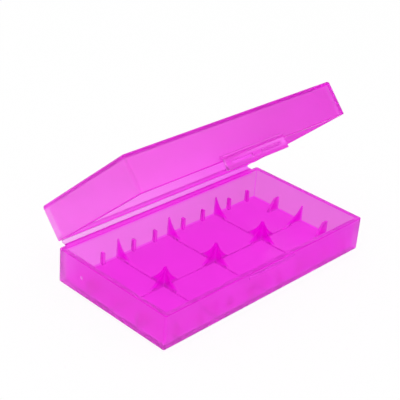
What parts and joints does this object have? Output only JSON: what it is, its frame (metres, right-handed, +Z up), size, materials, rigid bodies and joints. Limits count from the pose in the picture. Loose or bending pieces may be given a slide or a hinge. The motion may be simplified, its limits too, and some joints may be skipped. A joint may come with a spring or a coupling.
{
  "type": "hinged cell storage case",
  "caption": "Shallow translucent plastic case with ribbed, spiked tray, film-hinged lid and snap latch tab, for two long or four short round cells.",
  "frame": {"origin": "centre of the tray's flat underside", "axes": "+Z up from the table, +X along the hinge towards the right end, -Y towards the latch side"},
  "size_m": [0.0768, 0.0474, 0.0457],
  "materials": {
    "case_plastic": "translucent magenta polypropylene, lightly frosted gloss",
    "hinge_plastic": "the same polypropylene, thin and paler where it bends"
  },
  "bodies": {
    "tray": {"tray_shell": "case_plastic", "spine_rib": "case_plastic", "cross_rib_front_1": "case_plastic", "cross_rib_front_2": "case_plastic", "cross_rib_front_3": "case_plastic", "cross_rib_back_1": "case_plastic", "cross_rib_back_2": "case_plastic", "cross_rib_back_3": "case_plastic", "front_wall_post_1": "case_plastic", "front_wall_post_2": "case_plastic", "front_wall_post_3": "case_plastic", "front_wall_post_4": "case_plastic", "front_wall_post_5": "case_plastic", "front_wall_post_6": "case_plastic", "front_wall_post_7": "case_plastic", "front_wall_post_8": "case_plastic", "back_wall_post_1": "case_plastic", "back_wall_post_2": "case_plastic", "back_wall_post_3": "case_plastic", "back_wall_post_4": "case_plastic", "back_wall_post_5": "case_plastic", "back_wall_post_6": "case_plastic", "back_wall_post_7": "case_plastic", "back_wall_post_8": "case_plastic", "left_end_stop_front": "case_plastic", "left_end_stop_back": "case_plastic", "right_end_stop_front": "case_plastic", "right_end_stop_back": "case_plastic", "catch_bead": "case_plastic", "hinge_film": "hinge_plastic"},
    "lid": {"lid_shell": "case_plastic"},
    "latch": {"latch_tab": "case_plastic"}
  },
  "joints": [
    {"name": "lid_hinge", "type": "hinge", "parent": "tray", "child": "lid", "pos_m": [0, 0.0221, 0.01025], "axis": [-1, 0, 0], "range_deg": [-42.1, 137.9], "deforming": ["hinge_film"]},
    {"name": "latch_flex", "type": "hinge", "parent": "lid", "child": "latch", "pos_m": [0, -0.00941, 0.03959], "axis": [-1, 0, 0], "range_deg": [0, 12], "stiffness_Nm_per_rad": 0.02}
  ]
}
